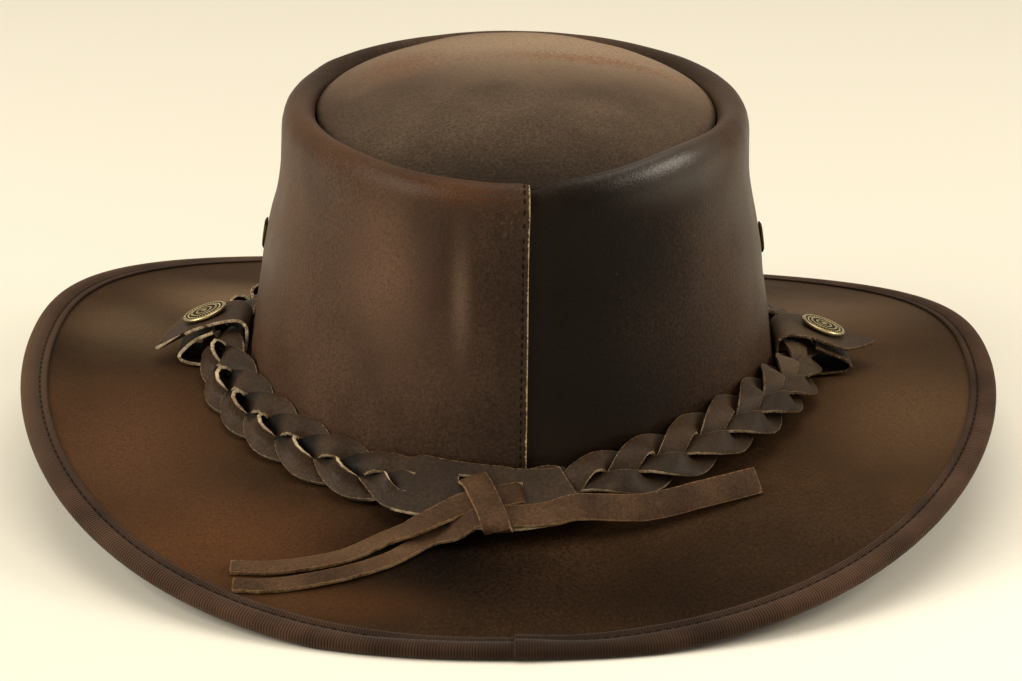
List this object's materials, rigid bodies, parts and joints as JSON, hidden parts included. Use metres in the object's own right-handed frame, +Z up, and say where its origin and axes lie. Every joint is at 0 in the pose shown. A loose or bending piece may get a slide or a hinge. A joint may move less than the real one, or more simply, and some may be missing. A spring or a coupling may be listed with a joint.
{
  "type": "leather cowboy hat",
  "caption": "Leather outback cowboy hat: domed flat crown, saddle-curved bound brim, braided leather band, snap keepers at the sides and a lace tied at the back.",
  "frame": {"origin": "below the middle of the brim, on the surface that the hat rests on", "axes": "+X to the wearer's right, +Y to the front of the hat, +Z up"},
  "size_m": [0.3192, 0.3632, 0.1278],
  "materials": {
    "crown_leather": "waxed, rubbed reddish at the rim",
    "tip_leather": "matte, dusty",
    "brim_leather": "waxed, with reddish patches",
    "binding_ribbon": "ribbed ribbon",
    "strap_leather": "matte, pale cut edges",
    "lace_leather": "matte, pale cut edges",
    "antique_brass": "antique, darkened in the hollows"
  },
  "bodies": {
    "root": {"crown_side": "crown_leather", "crown_tip": "tip_leather", "brim": "brim_leather", "brim_binding": "binding_ribbon", "vent_eyelet_right": "antique_brass", "vent_eyelet_left": "antique_brass", "braided_band": "strap_leather", "keeper_right": "strap_leather", "keeper_left": "strap_leather", "snap_stud_right": "antique_brass", "snap_stud_left": "antique_brass", "tie_lace": "lace_leather"}
  },
  "joints": []
}
